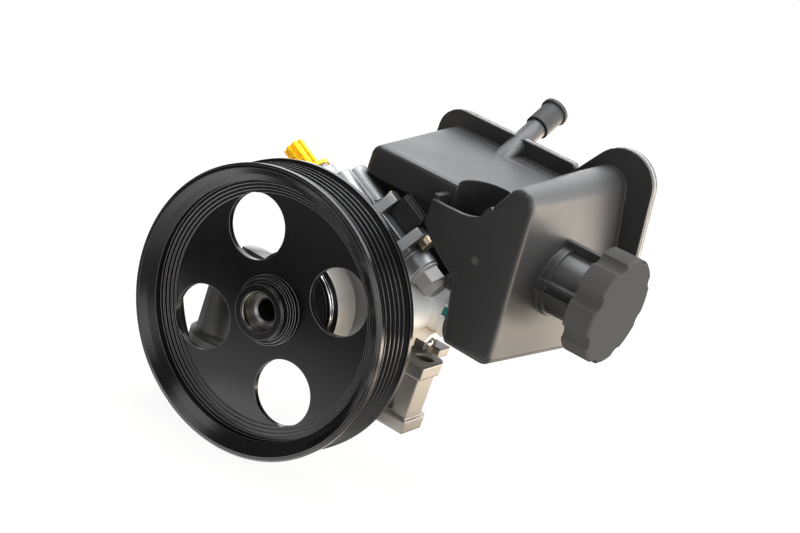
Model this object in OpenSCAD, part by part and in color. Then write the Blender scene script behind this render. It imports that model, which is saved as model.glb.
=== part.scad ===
// Vane pump for power steering, with a ribbed belt pulley and its own fluid tank.
// Millimetres. +Y runs along the shaft from the pulley to the rear, +X towards the filler cap, +Z up.
// The origin is on the shaft axis, in the middle plane of the belt.

/* [Pulley] */
// Diameter over the two lips of the pulley
pulley_d = 132; // [124:1:140]
// Number of belt grooves
groove_count = 6; // [5:1:7]
// Distance from groove to groove
groove_pitch = 3.56; // [3.4:0.02:3.7]
// Depth of one belt groove
groove_depth = 2.9; // [2.4:0.1:3.2]
// Width of the plain lip on each side of the grooves
lip_w = 3; // [2.4:0.1:4]
// Distance of the groove crests below the lips
track_drop = 1.2; // [0.6:0.1:1.6]
// Thickness of the rim under the grooves
rim_wall = 3.9; // [3:0.1:4.4]
// Thickness of the web
web_t = 2.8; // [2.4:0.1:5]
// Distance of the web's front face before the belt's middle plane
web_lead = 1.3; // [0:0.1:3]
// Diameter of a round window in the web
window_d = 30.2; // [24:0.1:31]
// Diameter of the circle through the window centres
window_circle_d = 74.6; // [73:0.1:78]
// Turn of the windows about the shaft
window_turn = -31; // [-45:1:45]
// Diameter of the hub at its front end
hub_d = 26.4; // [24:0.1:29]
// Distance of the hub's front face before the belt's middle plane
hub_lead = 10; // [8:0.1:12]
// Diameter of the hub behind the web
hub_rear_d = 42; // [36:0.5:43]

/* [Shaft and bearing] */
// Diameter of the shaft in the hub and the bearing
shaft_d = 17; // [15:0.5:18]
// Diameter of the shaft inside the rotor
tail_d = 14; // [11:0.5:14.5]
// Distance of the shaft's front end before the belt's middle plane
shaft_lead = 4.2; // [2:0.1:7]
// Diameter of the puller thread in the shaft's front end
puller_d = 10; // [8:0.1:11]
// Depth of the puller thread
puller_depth = 22; // [15:1:30]
// Outer diameter of the ball bearing
bearing_d = 40; // [38:0.5:41]
// Width of the ball bearing
bearing_w = 12; // [11:0.5:13]
// Number of balls
ball_count = 8; // [6:1:8]
// Diameter of a ball
ball_d = 7; // [6.2:0.1:7.2]
// Outer diameter of the shaft seal
seal_d = 30; // [26:0.5:32]
// Width of the shaft seal
seal_w = 7; // [5:0.5:7.5]

/* [Pump housing] */
// Diameter of the nose behind the pulley
nose_d = 49.2; // [48.8:0.2:52]
// Gap between the pulley's rear edge and the nose
nose_gap = 2.7; // [2.2:0.1:3.2]
// Outer diameter of the pump body
body_d = 64; // [63:0.5:68]
// Distance of the body's front face behind the belt's middle plane
body_front = 43; // [42:0.5:44]
// Diameter of the bore that holds the cam ring
cavity_d = 54; // [52:0.5:55]
// Width of the rotor and the cam ring
rotor_w = 16; // [12:0.5:18]
// Thickness of a pressure plate
plate_t = 6; // [5:0.5:7]
// Thickness of the end cover
cover_t = 8; // [7:0.5:10]
// Distance between the rear plate and the end cover
spring_gap = 3; // [2.6:0.1:4]
// Bore of the two mounting bosses
mount_bore_d = 8.4; // [6.4:0.1:9]
// Distance of the mounting bosses behind the belt's middle plane
mount_back = 46.3; // [45.5:0.1:47]
// Distance of the left boss from the shaft
left_boss_x = 50.5; // [49:0.5:53]
// Distance of the right lug from the shaft
right_lug_x = 56.6; // [55.5:0.1:58]
// Underside of the left boss below the shaft
left_boss_low = 50; // [46:0.5:54]
// Top of the left boss below the shaft
left_boss_top = 6; // [4:0.5:12]
// Top of the right lug's upper ear below the shaft
lug_ear_top = 4; // [3:0.5:6]
// Height of the right lug
lug_h = 33; // [30:0.5:38]
// Thickness of the right lug's upper ear and of its foot
lug_ear_t = 6; // [5:0.5:8]

/* [Flow valve] */
// Slope of the valve bore, falling towards the filler cap
valve_slope = 26; // [25:0.5:27]
// Distance of the valve bore from the shaft
valve_out = 48.4; // [48:0.1:48.6]
// Distance of the valve bore behind the belt's middle plane
valve_back = 44.5; // [44:0.1:45]
// Diameter of the valve bore
valve_d = 9; // [8:0.2:9.6]
// Wall round the valve bore
valve_wall = 3; // [2.6:0.1:3.4]
// Length of the valve boss on the high side
valve_left = 32; // [30:0.5:34]
// Length of the valve boss on the plug side
valve_right = 24; // [22:0.5:25]
// Length of the valve spool
spool_l = 18; // [16:0.5:19]
// Width across the flats of the valve plug's hex
plug_flats = 12; // [10:0.5:12.5]
// Distance of the outlet port from the shaft
port_out = 37.8; // [37:0.1:38.6]
// Distance of the outlet port behind the belt's middle plane
port_back = 36; // [35:0.1:37]
// Diameter of the outlet port's thread
outlet_d = 11; // [9:0.5:12]

/* [Tank] */
// Wall thickness of the tank
tank_wall = 2.5; // [2:0.1:3]
// Front face of the tall right block behind the belt's middle plane
panel_front = 32.3; // [31:0.1:33.5]
// Front face of the left block behind the belt's middle plane
left_front = 43.3; // [42.5:0.1:45]
// Front face of the weld flange behind the belt's middle plane
flange_front = 117.3; // [112:0.1:122]
// Thickness of each half of the weld flange
flange_t = 2.6; // [2.2:0.1:3.6]
// Depth of the rear shell behind its flange
rear_depth = 12; // [8:0.5:16]
// Diameter of the round well behind the front panel
well_d = 28; // [24:0.5:29]
// Rounding of the blocks' front edges
front_round = 2.4; // [1:0.1:2.6]
// Height of the filler neck's axis above the shaft
neck_z = 50; // [48:0.5:52]
// Distance of the filler neck's axis behind the belt's middle plane
neck_back = 69; // [66:0.5:72]
// Outer diameter of the filler neck
neck_d = 29.6; // [27:0.1:31]
// Wall of the filler neck
neck_wall = 2.5; // [2:0.1:3]
// Mouth of the filler neck, measured from the shaft
neck_mouth = 122; // [119:0.5:124]
// Diameter of the suction spigot between housing and tank
spigot_d = 17; // [15:0.5:18]

/* [Return nipple] */
// Slope of the return nipple above level
nipple_slope = 30; // [28:1:34]
// Diameter of the nipple's thick part
nipple_d = 10; // [9:0.1:11]
// Diameter of the hose spigot at its end
hose_d = 8.4; // [7.6:0.1:8.8]
// Length of the nipple's thick part
nipple_l = 22.3; // [21:0.1:25]
// Length of the hose spigot
hose_l = 14; // [11:0.5:16]

/* [Caps and plugs] */
// Diameter over the lobes of the filler cap
cap_d = 50.6; // [48:0.1:53]
// Height of the filler cap
cap_h = 13.5; // [12:0.1:15]
// Number of lobes on the filler cap
lobe_count = 8; // [6:1:10]
// Turn of the grooves between the lobes
lobe_turn = 29; // [0:1:45]
// Length of the dipstick below the cap
dipstick_l = 46; // [36:1:50]
// Diameter of the shipping plug's ribbed head
ship_head_d = 10; // [9:0.1:12]
// Length of the shipping plug's ribbed head
ship_head_l = 15; // [12:0.5:19]

/* [Fits] */
// Clearance between pieces that are pressed or bolted together
fit = 0.05; // [0.02:0.01:0.08]
// Radial clearance of a running or sliding fit
run_fit = 0.06; // [0.03:0.01:0.09]
// Gap between pieces that pass each other without touching
free_gap = 0.4; // [0.3:0.05:0.6]

/* [Hidden] */
$fn = 72;

// Pulley: places along the shaft and radii
pulley_r = pulley_d / 2;
track_w = groove_count * groove_pitch;
pulley_half = track_w / 2 + lip_w;
crest_r = pulley_r - track_drop;
root_r = crest_r - groove_depth;
rim_in_r = root_r - rim_wall;
groove_flat = 0.5;
web_rear = web_t - web_lead;
window_r = window_d / 2;
step_count = 4;
step_w = 1.5;
step_h = 0.9;
web_flat_r = rim_in_r - step_count * step_w;

// Places along the shaft, from the nose to the rear of the body
shaft_r = shaft_d / 2;
tail_r = tail_d / 2;
nose_front = pulley_half + nose_gap;
circlip_t = 1.5;
circlip_front = nose_front + 1.2;
bearing_front = circlip_front + circlip_t + fit;
bearing_rear = bearing_front + bearing_w;
bearing_mid = bearing_front + bearing_w / 2;
seal_front = bearing_rear + 1;
seal_rear = seal_front + seal_w;
cavity_front = seal_rear + 7.5;
cam_front = cavity_front + plate_t;
cam_rear = cam_front + rotor_w;
plate_rear = cam_rear + plate_t;
cover_front = plate_rear + spring_gap;
cover_rear = cover_front + cover_t;
ring_t = 2;
ring_open = 12;
body_rear = cover_rear + ring_t + 2;
cavity_r = cavity_d / 2;
tail_rear = cover_front + cover_t - 3;

// Bearing radii
bearing_r = bearing_d / 2;
ball_r = ball_d / 2;
pitch_r = (shaft_r + bearing_r) / 2;
race_wall = (bearing_r - shaft_r) / 2 - ball_r * 0.55;
groove_r = ball_r + free_gap;

// Cam ring and rotor
cam_mean_r = cavity_r - 7;
cam_swing = 1.3;
rotor_r = cam_mean_r - cam_swing - free_gap;
vane_count = 10;
vane_t = 2;
vane_depth = 7;
side_gap = run_fit;

// Valve bore, its spool and its plug, measured along the bore
valve_r = valve_d / 2;
valve_boss_r = valve_r + valve_wall;
valve_bottom = 26;
spool_left = -20;
spool_land = 5;
plug_thread_l = 8;
plug_hex_t = 7;
plug_round_l = 3;
plug_washer_t = 1.4;
plug_rim = 1.2;
plug_in = valve_right - plug_thread_l;
plug_ring_r = 0.8;

// Outlet port beside the valve bore, with its fitting
port_left = 40;
port_bottom = 22;
port_thread_r = outlet_d / 2 + 1.5;
port_boss_r = port_thread_r + 3;
fitting_flats = 15;
fitting_hex_t = 2.4;
fitting_in = 10;
cross_drill_r = 2;
gallery_bar_left = 33;
gallery_bar_back = 36.5;
gallery_bar_out = 47;
gallery_bar_r = 6;

// Ears on the valve boss that hold the tank's tongue
ear_left = -11;
ear_right = 14;
ear_t = 5;
ear_flat = 55.2;
ear_pin_out = 59.4;
ear_back = 42.5;
ear_top = 62.6;
ear_root = 8;
ear_reach = 11;
ear_rear = 3.6;
pin_r = 2;

// Right mounting lug, measured from its bore
lug_front = 12;
lug_rear = 8.5;
lug_side = 7.2;
lug_round = 5;
lug_waist = 1.4;
lug_slot_w = 12;
lug_slot_depth = 5;

// Casting on the right of the body, seen along the shaft as [x, z]
side_block = [[0, 39], [28, 37.5], [37, 25.8], [48.2, 12], [41, -8], [30, -14], [0, -14]];
side_round_x = 34;
side_round_z = 12;
side_round_r = 14.2;
side_front = 30;
side_rear = 63;
side_low_block = [[18, 21], [44, 22], [48.2, 12], [41, -8], [18, -12]];
side_low_rear = 76;

// Tank corners as [x, z, rounding], front face then rear face
right_front_corners = [[70.5, 15, 3], [88, 16.5, 5], [81.3, 84.5, 7], [69.1, 72, 2.6], [64.9, 40, 2.6]];
right_rear_corners = [[60, 17, 3], [99.5, 19, 5], [80.5, 85, 10], [58, 77, 3], [59.6, 40, 2.6]];
left_front_corners = [[3.3, 71.8, 5], [59.4, 74.2, 2.6], [59.4, 64.1, 2.6], [1.5, 64.5, 3]];
left_rear_corners = [[0, 73.9, 6], [58, 76.9, 3], [58, 63, 3], [-2, 64, 4]];
flange_left_corners = [[-1, 76.5, 11], [60, 85.5, 2], [60, 58, 2], [-6, 60, 6]];
flange_right_corners = [[86, 88, 17], [101, 24, 10], [59, 16, 2], [63, 82, 2]];
rear_left_corners = [[3, 70, 8], [58, 74, 4], [58, 63, 4], [0, 63, 5]];
rear_right_corners = [[82, 82, 12], [96, 24, 6], [63, 21, 5], [62, 74, 5]];
well_x = 57;
well_back = 51.8;
flange_rear = flange_front + flange_t;
shell_rear = flange_rear + flange_t;

// Filler neck, cap and dipstick along the neck's axis
neck_r = neck_d / 2;
neck_bore_r = neck_r - neck_wall;
neck_inner_end = 87;
neck_root = 92;
neck_collar_t = 5;
cap_r = cap_d / 2;
cap_top_t = 3;
gasket_t = 2;
cap_face = neck_mouth + gasket_t + fit + cap_top_t;
cap_low = cap_face - cap_h;
cap_chamfer = 1;
lobe_groove_r = 5;
lobe_groove_out = cap_r + 2.6;
cap_skirt_in = cap_r - 5.5;
cap_sleeve_in = neck_r + free_gap;
cap_sleeve_out = cap_sleeve_in + 2;
rib_reach = 4.6;

// Lower part of the left block behind the valve boss, and the web that joins it to the tall block
low_left = -6;
low_right = 58;
low_front = valve_back + valve_boss_r + 1;
low_floor = 46;
low_roof = 66;
well_lip = 71.5;
web_left = 24;
web_right = 61.5;

// Suction spigot
spigot_r = spigot_d / 2;
spigot_back = mount_back + 20;
spigot_z = 14;
shoulder_r = spigot_r + 3.4;
web_low = spigot_z + shoulder_r;
spigot_shoulder = 53;
suction_ring_r = 1.4;
socket_front = spigot_shoulder + 2 * suction_ring_r + 2 * fit;
socket_end = 66;

// Return nipple
nipple_root = [30, flange_front - 3.5, 79.9];
nipple_r = nipple_d / 2;
hose_r = hose_d / 2;
nipple_bore_r = hose_r - 1.4;
nipple_sunk = 13;
dust_wall = 1.5;
dust_low = nipple_l + free_gap;
dust_end = nipple_l + hose_l + free_gap + dust_wall;

// Colours
black_paint = [0.06, 0.06, 0.06];
black_plastic = [0.11, 0.11, 0.12];
cast_metal = [0.76, 0.77, 0.78];
steel = [0.66, 0.67, 0.69];
rubber_black = [0.09, 0.09, 0.09];

// Frames: along_y and along_x turn a shape that is drawn along Z
module along_y() { rotate([-90, 0, 0]) children(); }
module along_x() { rotate([0, 90, 0]) children(); }

// A ring about the shaft between two places along Y
module shaft_ring(r_in, r_out, y0, y1) {
    translate([0, y0, 0]) along_y() difference() {
        cylinder(r = r_out, h = y1 - y0);
        translate([0, 0, -1]) cylinder(r = r_in, h = y1 - y0 + 2);
    }
}

// A round bar about the shaft between two places along Y
module shaft_bar(r, y0, y1) {
    translate([0, y0, 0]) along_y() cylinder(r = r, h = y1 - y0);
}

// Places children drawn along Z on the valve bore, with zero at the foot of the shaft's normal
module on_valve() {
    translate([0, valve_back, 0]) rotate([0, valve_slope, 0]) translate([0, 0, valve_out]) along_x()
        children();
}

// Places children drawn along Z on the outlet port, which runs beside the valve bore
module on_port() {
    translate([0, port_back, 0]) rotate([0, valve_slope, 0]) translate([0, 0, port_out]) along_x() children();
}

// Places children in the ears' frame: X along the bore, Y back, Z away from the shaft
module on_ears() { translate([0, ear_back, 0]) rotate([0, valve_slope, 0]) children(); }

// Places children drawn along Z on the filler neck, measured from the shaft
module on_neck() { translate([0, neck_back, neck_z]) along_x() children(); }

// Places children drawn along Z on the return nipple, with zero at its root
module on_nipple() { translate(nipple_root) rotate([nipple_slope - 90, 0, 0]) children(); }

// Six flats about Z
module hex_bar(flats, h) { cylinder(d = flats / cos(30), h = h, $fn = 6); }

// A round bead about Z, such as an O-ring
module bead_ring(r_mid, r_bead) {
    rotate_extrude() translate([r_mid, 0]) circle(r = r_bead, $fn = 24);
}

// A spring ring about Z, open on one side
module open_ring(r_in, r_out, t, gap) {
    difference() {
        cylinder(r = r_out, h = t);
        translate([0, 0, -1]) cylinder(r = r_in, h = t + 2);
        translate([-gap / 2, 0, -1]) cube([gap, r_out + 1, t + 2]);
    }
}

// A tank block lofted between its front and its rear corners, its front edge rounded in three steps
module loft_block(front, rear, y_front, y_rear, inset, round) {
    hull() {
        for (c = front) {
            for (a = [0, 45, 90]) {
                translate([c[0], y_front + inset + round * (1 - sin(a)), c[1]])
                    along_y() cylinder(r = c[2] - inset + round * (cos(a) - 1) * (c[2] - inset) / c[2],
                        h = 0.02, $fn = 32);
            }
        }
        for (c = rear) {
            translate([c[0], y_rear - 0.02, c[1]])
                along_y() cylinder(r = c[2] - inset, h = 0.02, $fn = 32);
        }
    }
}

// A flat plate with rounded corners, between two places along Y
module corner_plate(corners, y0, y1, inset = 0) {
    translate([0, y1, 0]) rotate([90, 0, 0]) linear_extrude(y1 - y0) hull() {
        for (c = corners) {
            translate([c[0], c[1]]) circle(r = c[2] - inset, $fn = 32);
        }
    }
}

// Belt pulley: one revolved section with vee grooves, four windows in its web
module pulley() {
    first_groove = -track_w / 2;
    grooves = [
        for (i = [0 : groove_count - 1])
            let (a = first_groove + i * groove_pitch)
                each [
                    [crest_r, a + groove_flat / 2],
                    [root_r, a + groove_pitch / 2 - groove_flat / 2],
                    [root_r, a + groove_pitch / 2 + groove_flat / 2],
                    [crest_r, a + groove_pitch - groove_flat / 2]
                ]
    ];
    steps = [
        for (i = [0 : step_count - 1])
            each [
                [rim_in_r - i * step_w, -web_lead - (step_count - i) * step_h],
                [rim_in_r - (i + 1) * step_w, -web_lead - (step_count - i) * step_h]
            ]
    ];
    hub_r = hub_d / 2;
    section = concat(
        [[pulley_r, track_w / -2]],
        grooves,
        [
            [pulley_r, track_w / 2],
            [pulley_r, pulley_half - 0.8],
            [pulley_r - 0.8, pulley_half],
            [rim_in_r + 1.6, pulley_half],
            [rim_in_r, pulley_half - 4],
            [rim_in_r, web_rear + 3],
            [rim_in_r - 3, web_rear],
            [hub_rear_d / 2 + 1.5, web_rear],
            [hub_rear_d / 2, web_rear + 1.5],
            [hub_rear_d / 2, pulley_half - 0.7],
            [shaft_r + fit, pulley_half - 0.7],
            [shaft_r + fit, -hub_lead + 0.8],
            [shaft_r + 0.8, -hub_lead],
            [hub_r - 0.8, -hub_lead],
            [hub_r, -hub_lead + 0.8],
            [hub_r, -web_lead - 4.6],
            [hub_r + 1.3, -web_lead - 4.6],
            [hub_r + 1.3, -web_lead - 2.6],
            [hub_r + 2.6, -web_lead - 2.6],
            [hub_r + 2.6, -web_lead],
            [web_flat_r, -web_lead]
        ],
        [for (i = [len(steps) - 1 : -1 : 0]) steps[i]],
        [
            [rim_in_r, -pulley_half + 5],
            [rim_in_r + 3, -pulley_half + 2.6],
            [pulley_r - 2.2, -pulley_half],
            [pulley_r - 0.8, -pulley_half],
            [pulley_r, -pulley_half + 0.8]
        ]
    );
    color(black_paint) difference() {
        along_y() rotate_extrude($fn = 120) polygon(section);
        for (i = [0 : 3]) {
            rotate([0, window_turn + 90 * i, 0]) translate([0, -web_lead - 1, window_circle_d / 2])
                along_y() cylinder(r = window_r, h = web_t + 2);
        }
    }
}

// Drive shaft: turned steel, puller thread in front, thinner tail through the rotor
module drive_shaft() {
    color(steel) difference() {
        union() {
            shaft_bar(shaft_r, -shaft_lead, seal_rear + 1);
            shaft_bar(tail_r, seal_rear, tail_rear);
        }
        shaft_bar(puller_d / 2, -shaft_lead - 1, puller_depth - shaft_lead);
        translate([0, -shaft_lead - 0.01, 0]) along_y()
            cylinder(r1 = puller_d / 2 + 1.2, r2 = puller_d / 2, h = 1.2);
        shaft_ring(tail_r - 0.8, tail_r + 1, cam_rear + 0.6, cam_rear + 0.6 + circlip_t);
    }
}

// Bearing raceway: a bead that runs round the shaft and is cut from both races
module raceway() { translate([0, bearing_mid, 0]) along_y() bead_ring(pitch_r, groove_r); }

// Inner race, pressed on the shaft
module bearing_inner_race() {
    color(steel) difference() {
        shaft_ring(shaft_r + fit, shaft_r + race_wall, bearing_front, bearing_rear);
        raceway();
    }
}

// Outer race, held in the nose
module bearing_outer_race() {
    color(steel) difference() {
        shaft_ring(bearing_r - race_wall, bearing_r, bearing_front, bearing_rear);
        raceway();
    }
}

// Ring of balls between the races
module bearing_balls() {
    color("silver") for (i = [0 : ball_count - 1]) {
        rotate([0, i * 360 / ball_count, 0]) translate([0, bearing_mid, pitch_r]) sphere(r = ball_r);
    }
}

// Cage that spaces the balls
module bearing_cage() {
    cage_t = 1.4;
    cage_w = ball_d + 2.4;
    color("goldenrod") difference() {
        shaft_ring(pitch_r - cage_t / 2, pitch_r + cage_t / 2, bearing_mid - cage_w / 2,
            bearing_mid + cage_w / 2);
        for (i = [0 : ball_count - 1]) {
            rotate([0, i * 360 / ball_count, 0]) translate([0, bearing_mid, 0])
                cylinder(r = ball_r + free_gap / 2, h = pitch_r + ball_r);
        }
    }
}

// Circlip that keeps the bearing in the nose
module bearing_circlip() {
    color(steel) translate([0, circlip_front, 0]) along_y()
        open_ring(bearing_r - 2.6, bearing_r + 1, circlip_t, 5);
}

// Shaft seal: a channel-shaped rubber ring whose lip rides on the shaft
module shaft_seal() {
    seal_r = seal_d / 2;
    lip_r = shaft_r + run_fit;
    color(rubber_black) translate([0, seal_front, 0]) along_y() rotate_extrude() polygon([
        [lip_r + 0.8, 0],
        [seal_r, 0],
        [seal_r, seal_w],
        [seal_r - 1.6, seal_w],
        [seal_r - 1.6, 1.8],
        [lip_r + 2, 1.8],
        [lip_r + 1.6, seal_w - 1],
        [lip_r, seal_w - 2],
        [lip_r, seal_w - 2.8]
    ]);
}

// Ring of blocks about the shaft that cut or fill the rotor's slots
module vane_set(t, r_in, r_out, y0, y1) {
    for (i = [0 : vane_count - 1]) {
        rotate([0, i * 360 / vane_count, 0]) translate([-t / 2, y0, r_in]) cube([t, y1 - y0, r_out - r_in]);
    }
}

// Rotor: slotted steel drum on the shaft's tail
module rotor() {
    color(steel) difference() {
        shaft_ring(tail_r + fit, rotor_r, cam_front + side_gap, cam_rear - side_gap);
        vane_set(vane_t + 2 * run_fit, rotor_r - vane_depth, rotor_r + 1, cam_front - 1, cam_rear + 1);
    }
}

// Sliding vanes, drawn in as far as the narrowest part of the cam
module vanes() {
    vane_tip = rotor_r + free_gap / 3;
    color("gainsboro")
        vane_set(vane_t, rotor_r - vane_depth + 0.6, vane_tip, cam_front + side_gap, cam_rear - side_gap);
}

// Circlip that keeps the rotor on the tail
module rotor_circlip() {
    color(steel) translate([0, cam_rear + 0.6 + fit, 0]) along_y()
        open_ring(tail_r - 0.8 + fit, tail_r + 1.6, circlip_t - 2 * fit, 3);
}

// Cam ring: its bore swells and narrows twice in one turn
module cam_ring() {
    cam_points = [
        for (i = [0 : 71])
            let (a = i * 5, r = cam_mean_r - cam_swing * cos(2 * a))
                [r * cos(a), r * sin(a)]
    ];
    color(steel) difference() {
        shaft_bar(cavity_r - fit, cam_front, cam_rear);
        translate([0, cam_front - 1, 0]) along_y() linear_extrude(rotor_w + 2) polygon(cam_points);
        dowel_holes(cam_front, cam_rear);
    }
}

dowel_r = 2;
dowel_circle = cavity_r - 3.4;

// Two round bars through the plates and the cam ring
module dowel_bars(r, y0, y1) {
    for (side = [-1, 1]) {
        translate([side * dowel_circle, y0, 0]) along_y() cylinder(r = r, h = y1 - y0);
    }
}

// Holes for the dowels, with their clearance
module dowel_holes(y0, y1) { dowel_bars(dowel_r + fit, y0 - 1, y1 + 1); }

// Kidney-shaped ports in a pressure plate, one pair about the shaft
module kidney_ports(y0, y1) {
    port_r = (rotor_r + cam_mean_r) / 2 - 2;
    for (a = [45, 225]) {
        rotate([0, a, 0]) intersection() {
            shaft_ring(port_r - 2, port_r + 2, y0 - 1, y1 + 1);
            translate([-port_r / 2, y0 - 2, 0]) cube([port_r, y1 - y0 + 4, port_r * 2]);
        }
    }
}

// Front pressure plate, with its ports and the shaft's passage
module front_pressure_plate() {
    color(cast_metal) difference() {
        shaft_ring(tail_r + free_gap, cavity_r - fit, cavity_front, cam_front);
        kidney_ports(cavity_front, cam_front);
        dowel_holes(cavity_front, cam_front);
    }
}

// Rear pressure plate, recessed for the rotor's circlip
module rear_pressure_plate() {
    color(cast_metal) difference() {
        shaft_ring(tail_r + free_gap, cavity_r - fit, cam_rear, plate_rear);
        shaft_bar(tail_r + 1.6 + free_gap, cam_rear - 1, cam_rear + 0.6 + circlip_t + free_gap);
        kidney_ports(cam_rear, plate_rear);
        dowel_holes(cam_rear, plate_rear);
    }
}

// Two dowel pins that line up the plates and the cam ring
module dowel_pins() { color(steel) dowel_bars(dowel_r, cavity_front, plate_rear); }

// Conical spring washer between the rear plate and the end cover
module pressure_plate_spring() {
    spring_in = tail_r + 6;
    spring_out = cavity_r - 4;
    washer_t = 1.2;
    color(steel) translate([0, plate_rear, 0]) along_y() rotate_extrude() polygon([
        [spring_out, 0],
        [spring_out, washer_t],
        [spring_in, spring_gap],
        [spring_in, spring_gap - washer_t]
    ]);
}

// End cover: a turned disc with a groove for its O-ring and a seat for the rear bush
module end_cover() {
    groove_w = 3;
    color(cast_metal) difference() {
        shaft_bar(cavity_r - fit, cover_front, cover_rear);
        shaft_bar(tail_r + 2 + fit, cover_front - 1, tail_rear + 1);
        shaft_ring(cavity_r - 2.3, cavity_r + 1, cover_front + 2, cover_front + 2 + groove_w);
        shaft_ring(cavity_r * 0.55, cavity_r - 7, cover_rear - 2, cover_rear + 1);
    }
}

// O-ring in the end cover's groove
module cover_o_ring() {
    color(rubber_black) translate([0, cover_front + 3.5, 0]) along_y() bead_ring(cavity_r - 1.2, 1.1);
}

// Spring ring that keeps the end cover in the body
module cover_retaining_ring() {
    color(steel) translate([0, cover_rear + fit, 0]) along_y()
        open_ring(cavity_r - 3, cavity_r + 1.4, ring_t - 2 * fit, ring_open);
}

// Plain bush in the end cover that carries the shaft's tail
module rear_bush() {
    color("peru") shaft_ring(tail_r + run_fit, tail_r + 2, cover_front, tail_rear);
}

// The right mounting lug seen from above: flat sides, square in front and rounded behind
module lug_plan(inset, z, h) {
    root_x = 20;
    front = mount_back - lug_front + inset;
    rear = mount_back + lug_rear - inset;
    side = right_lug_x + lug_side - inset;
    translate([root_x, front, z]) cube([side - root_x, rear - lug_round - front, h]);
    translate([root_x, front, z]) cube([side - lug_round - root_x, rear - front, h]);
    translate([side - lug_round, rear - lug_round, z]) cylinder(r = lug_round, h = h);
}

// One ear: a gusset that widens towards the pulley, drawn across the valve bore
module ear_plate(x) {
    on_ears() translate([x, 0, 0]) rotate([90, 0, 90]) linear_extrude(ear_t) polygon([
        [-ear_reach, ear_flat - ear_root],
        [-ear_reach, ear_flat - 2.2],
        [-6, ear_top - 1.8],
        [-4.2, ear_top],
        [0.4, ear_top],
        [ear_rear, ear_top - 3],
        [ear_rear, ear_flat - ear_root]
    ]);
}

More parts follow.
